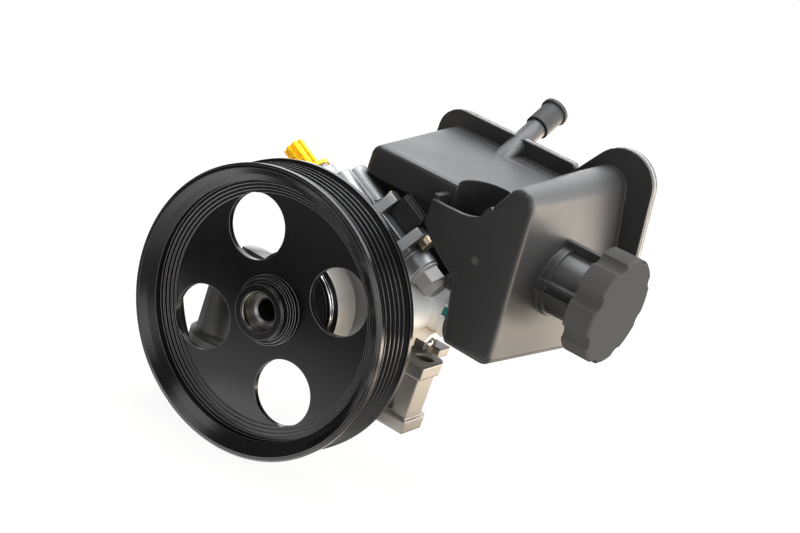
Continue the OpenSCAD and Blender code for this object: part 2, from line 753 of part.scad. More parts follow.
// Pump housing: one aluminium casting with its machined bores
module pump_housing() {
    body_r = body_d / 2;
    nose_r = nose_d / 2;
    pilot_r = nose_r - 2.6;
    cone_l = 5;
    lug_low = -lug_ear_top - lug_h;
    left_r = 12;
    bead_h = 7;
    root_x = 24;
    drill_turn = atan2(valve_back - port_back, valve_out - port_out);
    color(cast_metal) difference() {
        union() {
            // Nose with its machined pilot, and the cone that spreads into the body
            shaft_bar(pilot_r, nose_front - 2, nose_front + 1);
            shaft_bar(nose_r, nose_front, body_front + 1);
            translate([0, body_front - cone_l, 0]) along_y() cylinder(r1 = nose_r, r2 = body_r, h = cone_l);
            // Body with a raised band round its rear
            shaft_bar(body_r, body_front, body_rear);
            shaft_bar(body_r + 2.5, body_rear - 24, body_rear - 5);
            // Casting on the right, over the suction drilling
            translate([0, side_rear, 0]) rotate([90, 0, 0]) linear_extrude(side_rear - side_front)
                polygon(side_block);
            translate([0, side_low_rear, 0]) rotate([90, 0, 0])
                linear_extrude(side_low_rear - side_rear + 1) polygon(side_low_block);
            translate([side_round_x, side_front, side_round_z]) along_y()
                cylinder(r = side_round_r, h = side_rear - side_front);
            // Valve boss, cut flat between the ears
            difference() {
                on_valve() translate([0, 0, -valve_left]) cylinder(r = valve_boss_r,
                    h = valve_left + valve_right);
                on_ears() translate([ear_left + ear_t - 1, -20, ear_flat])
                    cube([ear_right - ear_left - 2 * ear_t + 2, 40, 20]);
            }
            // Pedestal under the ears and the block under the outlet port
            on_ears() translate([ear_left - 2, -9, 18]) cube([ear_right - ear_left + 4, 14, ear_flat - 18]);
            on_ears() translate([-34, -10, 18]) cube([24, 14, port_out - 18]);
            on_port() translate([0, 0, -port_left]) cylinder(r = port_boss_r, h = port_left - 14);
            // Bar before the valve boss that carries the outlet port's drilling
            on_ears() translate([-gallery_bar_left, gallery_bar_back - ear_back, gallery_bar_out]) along_x()
                cylinder(r = gallery_bar_r, h = gallery_bar_left + ear_left);
            // Two ears
            ear_plate(ear_left);
            ear_plate(ear_right - ear_t);
            // Left mounting boss with a collar at its lower end
            translate([-left_boss_x, mount_back, -left_boss_low])
                cylinder(r = left_r, h = left_boss_low - left_boss_top);
            translate([-left_boss_x, mount_back, -left_boss_low]) cylinder(r = left_r + 2.5,
                h = bead_h - 2.5);
            translate([-left_boss_x, mount_back, bead_h - 2.5 - left_boss_low])
                cylinder(r1 = left_r + 2.5, r2 = left_r, h = 2.5);
            translate([-left_boss_x, mount_back - 4, -30]) cube([left_boss_x - 10, 10, 32]);
            // Right mounting lug: upper ear, foot and the waist between them
            lug_plan(0, -lug_ear_top - lug_ear_t, lug_ear_t);
            lug_plan(0, lug_low, lug_ear_t);
            lug_plan(lug_waist, lug_low + 2, lug_h - 4);
            // Suction spigot with its shoulder
            translate([root_x, spigot_back, spigot_z]) along_x()
                cylinder(r = shoulder_r, h = spigot_shoulder - root_x);
            translate([root_x, spigot_back, spigot_z]) along_x()
                cylinder(r = spigot_r, h = socket_end - 1 - root_x);
            // Boss of the plugged gallery
            translate([root_x, gallery_back, gallery_z]) along_x()
                cylinder(r = gallery_r + 2.6, h = gallery_end - root_x);
            // Cast rib along the lower right of the body
            translate([root_x, side_rear - 1, -8]) cube([31, 9, 4.5]);
        }
        // Bearing, circlip and seal seats
        shaft_bar(bearing_r - 1.4, nose_front - 3, circlip_front + 1);
        shaft_bar(bearing_r + fit, circlip_front - 0.01, bearing_rear);
        shaft_bar(bearing_r + 1 + fit, circlip_front - fit, circlip_front + circlip_t + fit);
        shaft_bar(seal_d / 2 - 2, bearing_rear - 1, seal_front + 1);
        shaft_bar(seal_d / 2 + fit, seal_front, seal_rear);
        shaft_bar(shaft_r + 2, seal_rear - 1, cavity_front + 1);
        // Cam ring cavity and the groove of its retaining ring
        shaft_bar(cavity_r, cavity_front, body_rear + 1);
        shaft_bar(cavity_r + 1.4 + fit, cover_rear, cover_rear + ring_t);
        // Valve bore, closed at its high end, and the drilling to the cavity
        on_valve() translate([0, 0, -valve_bottom]) cylinder(r = valve_r, h = valve_bottom + valve_right + 1);
        translate([0, cavity_front + 1.5, 0]) rotate([0, valve_slope, 0]) translate([0, 0, cavity_r - 2])
            cylinder(r = cross_drill_r, h = valve_out - cavity_r);
        // Spot face round the valve plug's head
        on_valve() translate([0, 0, valve_right]) cylinder(r = plug_flats / 2 + plug_rim + free_gap, h = 14);
        // Outlet port and the drilling that joins it to the valve bore
        on_port() translate([0, 0, -port_left - 1]) cylinder(r = port_thread_r,
            h = port_left - port_bottom + 1);
        on_ears() translate([-port_bottom - 1.5, port_back - ear_back, port_out]) rotate([-drill_turn, 0, 0])
            cylinder(r = cross_drill_r, h = norm([valve_back - port_back, valve_out - port_out]));
        // Pin hole through the ears
        on_ears() translate([ear_left - 1, 0, ear_pin_out]) along_x()
            cylinder(r = pin_r + fit, h = ear_right - ear_left + 2);
        // Bores of the two mounts
        translate([-left_boss_x, mount_back, -left_boss_low - 1])
            cylinder(d = mount_bore_d, h = left_boss_low - left_boss_top + 2);
        translate([right_lug_x, mount_back, lug_low - 1]) cylinder(d = mount_bore_d, h = lug_h + 2);
        // Recess in the lug's front face
        translate([right_lug_x - lug_slot_w - 2, mount_back - lug_front - 1, lug_low + lug_ear_t + 2])
            cube([lug_slot_w, lug_slot_depth + 1, lug_h - 2 * lug_ear_t - 4]);
        // Suction drilling into the cavity
        translate([cavity_r - 5, spigot_back, spigot_z]) along_x() cylinder(r = spigot_r - 2.6,
            h = socket_end);
        // Gallery seat
        translate([gallery_end - gallery_r * 1.7, gallery_back, gallery_z]) along_x()
            cylinder(r = gallery_r + fit, h = gallery_r * 3);
    }
}

gallery_r = 3.4;
gallery_end = 51;
gallery_back = mount_back + 12;
gallery_z = -2;

// Steel ball that closes a drilled gallery
module gallery_ball() {
    color(steel) translate([gallery_end - gallery_r * 0.7, gallery_back, gallery_z]) sphere(r = gallery_r);
}

// Flow valve spool: two lands and a waist, with a pocket for its spring
module flow_valve_spool() {
    land_r = valve_r - run_fit;
    pocket_r = land_r - 1.2;
    land_l = spool_land;
    color(steel) on_valve() translate([0, 0, spool_left]) difference() {
        cylinder(r = land_r, h = spool_l);
        translate([0, 0, land_l]) difference() {
            cylinder(r = land_r + 1, h = land_l);
            cylinder(r = land_r - 1.4, h = land_l);
        }
        translate([0, 0, spool_l - land_l]) cylinder(r = pocket_r, h = spool_l);
        translate([0, 0, -1]) cylinder(r = 1.4, h = land_l);
    }
}

// Valve spring between the spool's pocket and the plug: a flat wire wound as a screw
module flow_valve_spring() {
    wire_t = 1.1;
    coil_out = valve_r - run_fit - 1.2 - 0.3;
    coil_in = coil_out - wire_t;
    coil_low = spool_left + spool_l - spool_land + fit;
    coil_high = plug_in;
    coil_turns = 5;
    wire_turn = 110;
    wire_steps = 4;
    wire = concat(
        [for (i = [0 : wire_steps]) let (a = wire_turn * i / wire_steps) [coil_out * cos(a),
            coil_out * sin(a)]],
        [for (i = [wire_steps : -1 : 0]) let (a = wire_turn * i / wire_steps) [coil_in * cos(a),
            coil_in * sin(a)]]
    );
    color("lightsteelblue") on_valve() translate([0, 0, coil_low])
        linear_extrude(coil_high - coil_low, twist = -360 * coil_turns, slices = 14 * coil_turns, $fn = 10)
            polygon(wire);
}

// Hex plug that closes the valve bore
module valve_plug() {
    ring_place = valve_right - 1.8;
    groove_half = plug_ring_r + 0.2;
    color(steel) on_valve() difference() {
        union() {
            translate([0, 0, plug_in]) cylinder(r = valve_r - fit, h = plug_thread_l + 0.5);
            translate([0, 0, valve_right]) cylinder(r = plug_flats / 2 + plug_rim, h = plug_washer_t);
            translate([0, 0, valve_right + plug_washer_t - 0.1]) hex_bar(plug_flats, plug_hex_t);
            translate([0, 0, valve_right + plug_washer_t + plug_hex_t - 0.2])
                cylinder(r1 = plug_flats / 2 - 0.3, r2 = plug_flats / 2 - 1.6, h = plug_round_l);
        }
        translate([0, 0, ring_place - groove_half]) difference() {
            cylinder(r = valve_r + 1, h = 2 * groove_half);
            cylinder(r = valve_r - 1.7, h = 2 * groove_half);
        }
    }
}

// O-ring in the valve plug's groove
module valve_plug_o_ring() {
    color(rubber_black) on_valve() translate([0, 0, valve_right - 1.8])
        bead_ring(valve_r - fit - plug_ring_r, plug_ring_r);
}

// Outlet fitting screwed into the port
module outlet_fitting() {
    color("lightgray") on_port() difference() {
        union() {
            translate([0, 0, -port_left - fitting_hex_t]) hex_bar(fitting_flats, fitting_hex_t);
            translate([0, 0, -port_left - 0.5]) cylinder(r = port_thread_r - fit, h = fitting_in + 0.5);
        }
        translate([0, 0, -port_left - fitting_hex_t - 1])
            cylinder(d = outlet_d, h = fitting_hex_t + fitting_in - 1);
        translate([0, 0, -port_left]) cylinder(d = outlet_d - 6, h = fitting_in + 1);
    }
}

// Shipping plug: ribbed yellow head, flange and a stem in the outlet
module outlet_shipping_plug() {
    ship_flange_r = outlet_d / 2 + 3.4;
    ship_flange_t = 1.8;
    stem_l = 9;
    flange_high = -port_left - fitting_hex_t - fit;
    head_r = ship_head_d / 2;
    rib_t = 1.5;
    rib_out = 1;
    color("gold") on_port() union() {
        translate([0, 0, flange_high - ship_flange_t]) cylinder(r = ship_flange_r, h = ship_flange_t);
        translate([0, 0, flange_high - 0.5]) cylinder(r = outlet_d / 2 - run_fit, h = stem_l);
        translate([0, 0, flange_high - ship_flange_t - ship_head_l]) difference() {
            cylinder(r = head_r - rib_out, h = ship_head_l + 0.5);
            translate([0, 0, -1]) cylinder(r = head_r - 2.6, h = ship_head_l - 3);
        }
        for (a = [0 : 45 : 315]) {
            rotate([0, 0, a]) translate([head_r - 1.8, -rib_t / 2, flange_high - ship_flange_t - ship_head_l])
                cube([1.8, rib_t, ship_head_l + 0.5]);
        }
    }
}

// Outline of the front panel's free part, from its tip to the step beside the tall block
panel_outline = [
    [67.5, 36], [62.4, 42], [54.2, 46.9], [46.8, 52.2], [41.4, 58.2], [41.4, 69.4], [49.2, 69.2],
    [57.2, 69.4], [61.2, 70.1], [64.1, 71.1], [65.8, 72.1], [66.7, 73.9], [67.3, 76.2], [69.2, 78], [76, 74]
];

// Tongue under the left block that lies between the ears, with two ridges along its top
module tank_tongue() {
    tongue_left = ear_left + ear_t + free_gap;
    tongue_l = ear_right - ear_t - free_gap - tongue_left;
    tongue_low = ear_flat + free_gap;
    tongue_top = 66;
    root_t = 5;
    root_h = 22;
    block_w = 60;
    left_floor = left_front_corners[3][1] - left_front_corners[3][2];
    difference() {
        on_ears() union() {
            translate([tongue_left, -2.9, tongue_low]) cube([tongue_l, 6, tongue_top - tongue_low]);
            translate([tongue_left, -2.4, tongue_top - 1]) cube([tongue_l, 1.2, 2.2]);
            translate([tongue_left, 0.2, tongue_top - 1]) cube([tongue_l, 1.2, 2.2]);
            translate([tongue_left, 2, tongue_low]) cube([tongue_l, root_t, root_h]);
        }
        on_ears() translate([tongue_left - 1, 0, ear_pin_out]) along_x() cylinder(r = pin_r + fit,
            h = tongue_l + 2);
        translate([-block_w / 2, ear_back + 1.5, left_floor + 1.5]) cube([2 * block_w, 20, root_h * 2]);
    }
}

// Front shell: two lofted blocks, weld flange, front panel, round well, neck and return nipple
module reservoir_front_shell() {
    panel_rear = panel_front + tank_wall;
    color(black_plastic) union() {
        difference() {
            union() {
                loft_block(right_front_corners, right_rear_corners, panel_front, flange_rear, 0, front_round);
                loft_block(left_front_corners, left_rear_corners, left_front, flange_rear, 0, front_round);
                corner_plate(flange_left_corners, flange_front, flange_rear);
                corner_plate(flange_right_corners, flange_front, flange_rear);
                translate([0, panel_rear, 0]) rotate([90, 0, 0]) linear_extrude(tank_wall)
                    polygon(panel_outline);
                on_nipple() translate([0, 0, -nipple_sunk]) cylinder(r = nipple_r,
                    h = nipple_l + nipple_sunk);
                translate([low_left, low_front, low_floor])
                    cube([low_right - low_left, flange_front + 1 - low_front, low_roof - low_floor]);
                translate([well_x - well_d / 2 - tank_wall, panel_rear - 0.5, low_roof - 4])
                    cube([tank_wall, left_front + 3 - panel_rear, well_lip - low_roof + 4]);
            }
            difference() {
                union() {
                    loft_block(right_front_corners, right_rear_corners, panel_front, flange_rear + 1,
                        tank_wall, front_round);
                    loft_block(left_front_corners, left_rear_corners, left_front, flange_rear + 1,
                        tank_wall, front_round);
                    translate([low_left + tank_wall, low_front + tank_wall, low_floor + tank_wall])
                        cube([low_right - low_left - 2 * tank_wall, flange_front - low_front - 2 * tank_wall,
                              low_roof - low_floor - tank_wall - 1.5]);
                }
                translate([well_x, well_back, 0]) cylinder(d = well_d + 2 * tank_wall, h = 120);
            }
            translate([well_x, well_back, 42]) cylinder(d = well_d, h = 60);
            on_neck() translate([0, 0, neck_inner_end]) cylinder(r = neck_bore_r, h = neck_mouth);
            on_nipple() translate([0, 0, -nipple_sunk - 1]) cylinder(r = nipple_bore_r,
                h = nipple_l + nipple_sunk + 6);
            translate([spigot_shoulder, spigot_back, spigot_z]) along_x() cylinder(r = spigot_r + fit,
                h = 20);
        }
        // Filler neck, its collar and its ribs
        on_neck() difference() {
            union() {
                translate([0, 0, neck_inner_end]) cylinder(r = neck_r, h = neck_mouth - neck_inner_end);
                translate([0, 0, neck_root]) cylinder(r = neck_r + 1.4, h = neck_collar_t);
                translate([-neck_r - rib_reach, -1.6, neck_root]) cube([rib_reach + 1, 3.2,
                    cap_low - 1 - neck_root]);
                for (z = [-2.4, 2.4]) {
                    translate([z - 0.7, -neck_r - 2.4, neck_root]) cube([1.4, 4, cap_low - 0.6 - neck_root]);
                }
            }
            translate([0, 0, neck_inner_end - 1]) cylinder(r = neck_bore_r, h = neck_mouth);
        }
        // Hose spigot on the return nipple
        on_nipple() difference() {
            union() {
                translate([0, 0, nipple_l - 1]) cylinder(r = hose_r, h = hose_l + 1);
            }
            translate([0, 0, nipple_l - 2]) cylinder(r = nipple_bore_r, h = hose_l + 3);
        }
        // Socket for the suction spigot
        translate([socket_front, spigot_back, spigot_z]) along_x() difference() {
            cylinder(r = spigot_r + 4, h = socket_end - socket_front);
            translate([0, 0, -1]) cylinder(r = spigot_r + fit, h = socket_end - socket_front + 2);
        }
        tank_tongue();
        // Stiffening web between the two blocks, behind the valve
        translate([web_left, spigot_back + 3.7, web_low]) cube([web_right - web_left, tank_wall,
            low_roof - 3 - web_low]);
    }
}

// Rear shell: a shallow pan welded to the front shell's flange
module reservoir_rear_shell() {
    rear_end = shell_rear + rear_depth;
    pan_round = 3.5;
    pan_draft = 1;
    left_wide = [for (c = rear_left_corners) [c[0], c[1], c[2] + pan_draft]];
    right_wide = [for (c = rear_right_corners) [c[0], c[1], c[2] + pan_draft]];
    color(black_plastic) difference() {
        union() {
            corner_plate(flange_left_corners, flange_rear, shell_rear);
            corner_plate(flange_right_corners, flange_rear, shell_rear);
            mirror([0, 1, 0]) loft_block(rear_left_corners, left_wide, -rear_end, -flange_rear, 0, pan_round);
            mirror([0, 1, 0]) loft_block(rear_right_corners, right_wide, -rear_end, -flange_rear, 0,
                pan_round);
        }
        mirror([0, 1, 0]) loft_block(rear_left_corners, left_wide, -rear_end, -flange_rear + 1,
            tank_wall, pan_round);
        mirror([0, 1, 0]) loft_block(rear_right_corners, right_wide, -rear_end, -flange_rear + 1,
            tank_wall, pan_round);
        on_nipple() cylinder(r = nipple_r + free_gap, h = nipple_l + hose_l);
    }
}

// O-ring between the suction spigot's shoulder and the tank's socket
module suction_o_ring() {
    color("teal") translate([spigot_shoulder + fit + suction_ring_r, spigot_back, spigot_z]) along_x()
        bead_ring(spigot_r + fit + suction_ring_r, suction_ring_r);
}

// Headed pin through the ears and the tank's tongue
module tank_pin() {
    head_t = 4;
    color("tan") on_ears() translate([ear_left - 1.5, 0, ear_pin_out]) along_x() union() {
        cylinder(r = pin_r, h = ear_right - ear_left + 1.5 + fit);
        translate([0, 0, ear_right - ear_left + 1.5 + fit]) cylinder(r = pin_r + 1.8, h = head_t);
    }
}

// Dust cap on the return nipple: a sleeve with a flared closed end
module return_dust_cap() {
    sleeve_r = hose_r + free_gap + dust_wall;
    color(rubber_black) on_nipple() difference() {
        union() {
            translate([0, 0, dust_low]) cylinder(r = sleeve_r, h = dust_end - dust_low);
            translate([0, 0, dust_end - 1.8]) cylinder(r = sleeve_r + 1, h = 1.8);
        }
        translate([0, 0, dust_low - 1]) cylinder(r = hose_r + run_fit, h = hose_l + 1 + free_gap / 2);
    }
}

// Filler cap: lobed grip, inner sleeve round the neck and a flat top
module filler_cap() {
    color(black_plastic) on_neck() difference() {
        translate([0, 0, cap_low]) union() {
            cylinder(r = cap_r, h = cap_h - cap_chamfer);
            translate([0, 0, cap_h - cap_chamfer]) cylinder(r1 = cap_r, r2 = cap_r - cap_chamfer,
                h = cap_chamfer);
        }
        for (i = [0 : lobe_count - 1]) {
            rotate([0, 0, 90 + lobe_turn + i * 360 / lobe_count]) translate([lobe_groove_out, 0, cap_low - 1])
                cylinder(r = lobe_groove_r, h = cap_h + 2);
        }
        translate([0, 0, cap_low - 1]) difference() {
            cylinder(r = cap_skirt_in, h = cap_h - cap_top_t + 1);
            cylinder(r = cap_sleeve_out, h = cap_h + 2);
        }
        translate([0, 0, cap_low - 1]) cylinder(r = cap_sleeve_in, h = cap_h - cap_top_t + 1);
    }
}

// Gasket between the neck's mouth and the cap
module cap_gasket() {
    color("dimgray") on_neck() translate([0, 0, neck_mouth]) difference() {
        cylinder(r = neck_r, h = gasket_t);
        translate([0, 0, -1]) cylinder(r = neck_bore_r + 0.4, h = gasket_t + 2);
    }
}

// Dipstick: a flat blade on a round root under the cap
module dipstick() {
    blade_w = 6;
    blade_t = 1.8;
    root_l = 8;
    top = cap_face - cap_top_t;
    color("gray") on_neck() union() {
        translate([0, 0, top - root_l]) cylinder(d = blade_w + 1, h = root_l);
        translate([-blade_w / 2, -blade_t / 2, top - dipstick_l]) cube([blade_w, blade_t,
            dipstick_l - root_l + 1]);
    }
}

pulley();
drive_shaft();
bearing_inner_race();
bearing_outer_race();
bearing_balls();
bearing_cage();
bearing_circlip();
shaft_seal();
rotor();
vanes();
rotor_circlip();
pump_housing();
cam_ring();
front_pressure_plate();
rear_pressure_plate();
dowel_pins();
pressure_plate_spring();
end_cover();
cover_o_ring();
cover_retaining_ring();
rear_bush();
flow_valve_spool();
flow_valve_spring();
valve_plug();
valve_plug_o_ring();
outlet_fitting();
outlet_shipping_plug();
gallery_ball();
reservoir_front_shell();
reservoir_rear_shell();
suction_o_ring();
tank_pin();
return_dust_cap();
filler_cap();
cap_gasket();
dipstick();
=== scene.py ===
import bpy
import numpy as np
from mathutils import Matrix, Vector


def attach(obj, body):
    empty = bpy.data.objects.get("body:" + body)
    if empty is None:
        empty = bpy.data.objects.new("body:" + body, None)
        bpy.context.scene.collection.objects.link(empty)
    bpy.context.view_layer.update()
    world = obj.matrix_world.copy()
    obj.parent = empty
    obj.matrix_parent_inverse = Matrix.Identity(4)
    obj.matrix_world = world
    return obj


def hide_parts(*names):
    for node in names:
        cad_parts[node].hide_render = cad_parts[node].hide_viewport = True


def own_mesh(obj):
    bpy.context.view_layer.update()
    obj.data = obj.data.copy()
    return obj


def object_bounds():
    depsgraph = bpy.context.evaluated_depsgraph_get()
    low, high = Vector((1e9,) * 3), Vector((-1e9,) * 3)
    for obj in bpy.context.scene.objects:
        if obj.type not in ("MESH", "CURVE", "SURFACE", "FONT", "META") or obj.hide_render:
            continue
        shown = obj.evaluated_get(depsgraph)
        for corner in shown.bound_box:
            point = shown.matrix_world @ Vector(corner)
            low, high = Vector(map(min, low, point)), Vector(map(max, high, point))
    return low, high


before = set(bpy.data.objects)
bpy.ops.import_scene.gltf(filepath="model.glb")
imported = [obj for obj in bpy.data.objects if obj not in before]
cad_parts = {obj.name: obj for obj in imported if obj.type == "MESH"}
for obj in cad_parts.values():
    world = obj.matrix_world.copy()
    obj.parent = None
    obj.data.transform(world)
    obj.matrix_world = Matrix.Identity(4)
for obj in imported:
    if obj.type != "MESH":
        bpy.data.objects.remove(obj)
cad_low, cad_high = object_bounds()


# Belt pulley. A turned and stamped steel wheel with a rolled front lip, pressed onto the shaft.
# It was dipped in satin black paint after turning, with its bore plugged, so bare steel shows there, tinted tan as a
# painted warm reflection.

def add_node(tree, kind, inputs=None, **settings):
    """Adds a node of that kind. An input is linked when it is given a socket, and set when it is given a value."""
    node = tree.nodes.new("ShaderNode" + kind)
    for name, value in settings.items():
        setattr(node, name, value)
    for name, value in (inputs or {}).items():
        if isinstance(value, bpy.types.NodeSocket):
            tree.links.new(value, node.inputs[name])
        else:
            node.inputs[name].default_value = value
    return node


def number(tree, operation, first, second=0.0):
    """The result of one sum on two numbers."""
    return add_node(tree, "Math", {0: first, 1: second}, operation=operation).outputs[0]


def arrow(tree, operation, first, second=(0.0, 0.0, 0.0)):
    """The result of one sum on two vectors: a number for a length, a distance or a dot product, else a vector."""
    node = add_node(tree, "VectorMath", {0: first, 1: second}, operation=operation)
    return node.outputs["Value" if operation in ("LENGTH", "DISTANCE", "DOT_PRODUCT") else "Vector"]


def spread(tree, value, from_low, from_high, to_low, to_high):
    """Carries a value from one span to another, held at the ends."""
    return add_node(tree, "MapRange", {"Value": value, "From Min": from_low, "From Max": from_high,
                                       "To Min": to_low, "To Max": to_high}).outputs[0]


def all_of(tree, first, *others):
    """The product of masks: 1 only where each of them is 1."""
    for other in others:
        first = number(tree, "MULTIPLY", first, other)
    return first


def blend(tree, mask, low, high, kind="RGBA"):
    """low where the mask is 0 and high where it is 1, for two colours, two numbers or two vectors."""
    low_place, result = {"FLOAT": (2, 0), "VECTOR": (4, 1), "RGBA": (6, 2)}[kind]
    mix = add_node(tree, "Mix", {0: mask, low_place: low, low_place + 1: high}, data_type=kind)
    return mix.outputs[result]


def new_finish(name, **values):
    """A material with one Principled shader whose sockets take those values, an underscore standing for a space."""
    finish = bpy.data.materials.new(name)
    finish.use_nodes = True
    shader = finish.node_tree.nodes["Principled BSDF"]
    for socket, value in values.items():
        shader.inputs[socket.replace("_", " ")].default_value = value
    return finish, finish.node_tree, shader


def feed(tree, shader, **values):
    """Links values to a shader's sockets, an underscore standing for a space."""
    for socket, value in values.items():
        tree.links.new(value, shader.inputs[socket.replace("_", " ")])


def relief(tree, height, normal, strength, distance=0.0002):
    """The shading normal of a surface that has this height on it."""
    return add_node(tree, "Bump", {"Height": height, "Normal": normal, "Strength": strength,
                                   "Distance": distance}).outputs[0]


def new_effect(name, takes, gives):
    """An empty shader node group with its named sockets. Returns its tree, what it takes and what it gives."""
    tree = bpy.data.node_groups.new(name, "ShaderNodeTree")
    for label, kind in takes.items():
        tree.interface.new_socket(label, in_out="INPUT", socket_type="NodeSocket" + kind)
    for label, kind in gives.items():
        tree.interface.new_socket(label, in_out="OUTPUT", socket_type="NodeSocket" + kind)
    return tree, tree.nodes.new("NodeGroupInput").outputs, tree.nodes.new("NodeGroupOutput").inputs


def use_effect(tree, effect, **values):
    """Places a node group in a material with its own values and returns its outputs."""
    return add_node(tree, "Group", values, node_tree=effect).outputs


def dress(finish, *names):
    """Gives CAD nodes a finish on every slot they have."""
    for name in names:
        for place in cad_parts[name].material_slots:
            place.material = finish


# Rounded edges: the shading normal turns smoothly over an edge, and a mask marks the edge itself
soft_edge, takes, gives = new_effect("soft edge", {"Radius": "Float"}, {"Normal": "Vector", "Edge": "Float"})
rounded = add_node(soft_edge, "Bevel", {"Radius": takes["Radius"]}, samples=8).outputs[0]
straight = add_node(soft_edge, "NewGeometry").outputs["Normal"]
likeness = arrow(soft_edge, "DOT_PRODUCT", rounded, straight)
soft_edge.links.new(rounded, gives["Normal"])
soft_edge.links.new(spread(soft_edge, likeness, 1.0, 0.86, 0.0, 1.0), gives["Edge"])

# Fine grain: a small even texture for paint and moulded plastic, with a broad cloudy tone under it
fine_grain, takes, gives = new_effect("fine grain", {"Scale": "Float"}, {"Height": "Float", "Cloud": "Float"})
place = add_node(fine_grain, "TexCoord").outputs["Object"]
grain = add_node(fine_grain, "TexNoise", {"Vector": place, "Scale": takes["Scale"], "Detail": 3.0,
                                          "Roughness": 0.6})
cloud = add_node(fine_grain, "TexNoise", {"Vector": place, "Scale": 38.0, "Detail": 4.0, "Roughness": 0.55})
fine_grain.links.new(grain.outputs[0], gives["Height"])
fine_grain.links.new(spread(fine_grain, cloud.outputs[0], 0.32, 0.68, 0.0, 1.0), gives["Cloud"])

# Handling marks: short hairlines that run in two directions, thinned out in patches
hairlines, takes, gives = new_effect("hairlines", {"Amount": "Float"}, {"Mask": "Float"})
place = add_node(hairlines, "TexCoord").outputs["Object"]
lines = []
for turn in ((0.3, 0.9, 0.2), (1.2, 0.1, 0.8)):
    lie = add_node(hairlines, "Mapping", {"Vector": place, "Rotation": turn, "Scale": (1.0, 14.0, 14.0)})
    streak = add_node(hairlines, "TexNoise", {"Vector": lie.outputs[0], "Scale": 150.0, "Detail": 1.0})
    lines.append(spread(hairlines, streak.outputs[0], 0.70, 0.74, 0.0, 1.0))
patch = add_node(hairlines, "TexNoise", {"Vector": place, "Scale": 55.0, "Detail": 2.0}).outputs[0]
worn = all_of(hairlines, number(hairlines, "MAXIMUM", *lines), spread(hairlines, patch, 0.5, 0.62, 0.0, 1.0),
              takes["Amount"])
hairlines.links.new(worn, gives["Mask"])

paint_black = (0.0026, 0.0026, 0.0028, 1.0)
# Pale edges and marks: partly thin, worn paint and partly a painted highlight
pale_wear_and_highlight = (0.20, 0.20, 0.208, 1.0)
# The bore's bare steel, its tan tint a painted warm reflection
bare_steel_warm_reflection = (0.24, 0.215, 0.175, 1.0)
# Places on the wheel, in metres from its axis and along it
bore_edge = 0.0087
lip_inner, lip_rear, lip_soft = 0.0637, -0.0128, 0.0003
track_inner, track_half = 0.060, 0.0108
paint_step = 0.0002

satin_paint, tree, shader = new_finish("satin black paint", Specular_IOR_Level=0.38)
edge = use_effect(tree, soft_edge, Radius=0.0005)
grain = use_effect(tree, fine_grain, Scale=900.0)
marks = use_effect(tree, hairlines, Amount=0.04)
place = add_node(tree, "TexCoord").outputs["Object"]
depth = add_node(tree, "SeparateXYZ", {0: place}).outputs["Y"]
across = arrow(tree, "MULTIPLY", place, (1.0, 0.0, 1.0))
radius = arrow(tree, "LENGTH", across)
# The paint is pale along edges and marks, partly worn thin and partly a painted highlight, but less so in the belt
# track
aside = number(tree, "ABSOLUTE", depth)
track = all_of(tree, spread(tree, radius, track_inner, track_inner + paint_step, 0.0, 1.0),
               spread(tree, aside, track_half, track_half + paint_step, 1.0, 0.0))
wear_and_highlight = all_of(tree, number(tree, "MAXIMUM", edge["Edge"], marks["Mask"]), spread(tree, track, 0.0, 1.0, 0.6, 0.12))
painted = blend(tree, wear_and_highlight, paint_black, pale_wear_and_highlight)
bare = spread(tree, radius, bore_edge, bore_edge + paint_step, 1.0, 0.0)
# The rolled lip's normal leans outwards by 45 degrees
lip = all_of(tree, spread(tree, radius, lip_inner, lip_inner + lip_soft, 0.0, 1.0),
             spread(tree, depth, lip_rear, lip_rear + paint_step, 1.0, 0.0))
leaning = arrow(tree, "ADD", arrow(tree, "NORMALIZE", across), (0.0, -1.0, 0.0))
rolled = arrow(tree, "NORMALIZE", blend(tree, lip, edge["Normal"], leaning, "VECTOR"))
feed(tree, shader, Base_Color=blend(tree, bare, painted, bare_steel_warm_reflection), Metallic=bare,
     Roughness=spread(tree, grain["Cloud"], 0.0, 1.0, 0.17, 0.22),
     Normal=relief(tree, grain["Height"], rolled, 0.03))
dress(satin_paint, "pulley")


# Drive shaft, bearing and rotor set. Ground and hardened steel on one axis, with brass for the cage and the bush.
# They are pressed or slid into the housing, and only the shaft's front end with its puller hole is seen.

turned_lines, takes, gives = new_effect("turned lines", {"Vector": "Vector", "Scale": "Float"}, {"Height": "Float"})
rings = add_node(turned_lines, "TexWave", {"Vector": takes["Vector"], "Scale": takes["Scale"], "Distortion": 0.6,
                                           "Detail": 2.0}, wave_type="RINGS", rings_direction="Y")
turned_lines.links.new(rings.outputs["Fac"], gives["Height"])


def metal_finish(name, colour, smooth, rough, edge_radius=0.0003, lines=0.0, bare=1.0):
    """A bare metal: cloudy roughness between smooth and rough, faint hairlines, and turned lines when asked for.
    A matt plating has a lower share of bare metal."""
    finish, tree, shader = new_finish(name, Metallic=bare)
    edge = use_effect(tree, soft_edge, Radius=edge_radius)
    grain = use_effect(tree, fine_grain, Scale=1500.0)
    marks = use_effect(tree, hairlines, Amount=0.5)
    dull = (*(0.82 * c for c in colour), 1.0)
    bright = (*(min(1.0, 1.12 * c) for c in colour), 1.0)
    tone = blend(tree, edge["Edge"], blend(tree, grain["Cloud"], dull, (*colour, 1.0)), bright)
    worn = number(tree, "SUBTRACT", grain["Cloud"], marks["Mask"])
    height = grain["Height"]
    if lines:
        place = add_node(tree, "TexCoord").outputs["Object"]
        height = use_effect(tree, turned_lines, Vector=place, Scale=lines)["Height"]
    feed(tree, shader, Base_Color=tone, Roughness=spread(tree, worn, 0.0, 1.0, smooth, rough),
         Normal=relief(tree, height, edge["Normal"], 0.08, 0.0001))
    return finish


